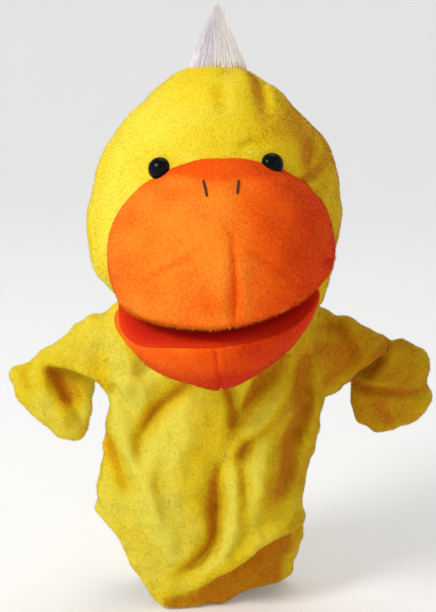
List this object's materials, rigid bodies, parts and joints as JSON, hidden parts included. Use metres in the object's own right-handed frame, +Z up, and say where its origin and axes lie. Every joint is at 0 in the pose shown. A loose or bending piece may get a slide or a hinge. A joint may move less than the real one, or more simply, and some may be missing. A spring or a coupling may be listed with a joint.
{
  "type": "moving mouth hand puppet",
  "caption": "Plush duck glove puppet with a stuffed head, a hinged padded beak that opens, dome eyes, a pile tuft and two floppy mitten arms on an open-bottomed cloth body.",
  "frame": {"origin": "centre of the hand opening at the lower edge of the torso", "axes": "+Z up from the hand opening to the tuft, -Y to the front where the beak points, +X to the right as seen from the front"},
  "size_m": [0.264, 0.186, 0.379],
  "materials": {
    "yellow_plush": "matte",
    "orange_plush": "matte",
    "mouth_lining": "matte",
    "white_pile": "matte",
    "stuffing": "matte",
    "pocket_cloth": "matte",
    "thread": "matte",
    "board": "matte",
    "eye_black": "gloss",
    "washer": "matte"
  },
  "bodies": {
    "torso": {"torso_front_panel": "yellow_plush", "torso_back_panel": "yellow_plush", "hem_band": "yellow_plush"},
    "neck": {"neck_tube": "yellow_plush"},
    "head": {"head_cover_left": "yellow_plush", "head_cover_right": "yellow_plush", "head_cover_back": "yellow_plush", "head_stuffing": "stuffing", "upper_beak_cover_left": "orange_plush", "upper_beak_cover_right": "orange_plush", "upper_beak_stuffing": "stuffing", "upper_palate_lining": "mouth_lining", "upper_mouth_board": "board", "finger_pocket": "pocket_cloth", "eye_left": "eye_black", "eye_right": "eye_black", "eye_washer_left": "washer", "eye_washer_right": "washer", "nostril_stitch_left": "thread", "nostril_stitch_right": "thread", "tuft": "white_pile"},
    "jaw": {"lower_beak_cover_left": "orange_plush", "lower_beak_cover_right": "orange_plush", "lower_beak_stuffing": "stuffing", "lower_palate_lining": "mouth_lining", "lower_mouth_board": "board", "thumb_pocket": "pocket_cloth"},
    "arm_left": {"sleeve_cover_left": "yellow_plush", "sleeve_filling_left": "stuffing"},
    "hand_left": {"hand_cover_left": "yellow_plush", "hand_filling_left": "stuffing"},
    "arm_right": {"sleeve_cover_right": "yellow_plush", "sleeve_filling_right": "stuffing"},
    "hand_right": {"hand_cover_right": "yellow_plush", "hand_filling_right": "stuffing"}
  },
  "joints": [
    {"name": "head_turn", "type": "hinge", "parent": "torso", "child": "neck", "pos_m": [0, 0, 0.18], "axis": [0, 0, 1], "range_deg": [-25, 25]},
    {"name": "head_nod", "type": "hinge", "parent": "neck", "child": "head", "pos_m": [0, 0, 0.192], "axis": [1, 0, 0], "range_deg": [-15, 10]},
    {"name": "jaw_open", "type": "hinge", "parent": "head", "child": "jaw", "pos_m": [0, -0.054, 0.212], "axis": [1, 0, 0], "range_deg": [-8, 24]},
    {"name": "arm_left_raise", "type": "hinge", "parent": "torso", "child": "arm_left", "pos_m": [-0.074, 0, 0.163], "axis": [0, 1, 0], "range_deg": [-9, 35]},
    {"name": "hand_left_fold", "type": "hinge", "parent": "arm_left", "child": "hand_left", "pos_m": [-0.098, 0, 0.148], "axis": [-0.53, 0, 0.848], "range_deg": [-30, 30]},
    {"name": "arm_right_raise", "type": "hinge", "parent": "torso", "child": "arm_right", "pos_m": [0.074, 0, 0.163], "axis": [0, -1, 0], "range_deg": [-9, 35]},
    {"name": "hand_right_fold", "type": "hinge", "parent": "arm_right", "child": "hand_right", "pos_m": [0.098, 0, 0.148], "axis": [-0.53, 0, -0.848], "range_deg": [-30, 30]}
  ]
}
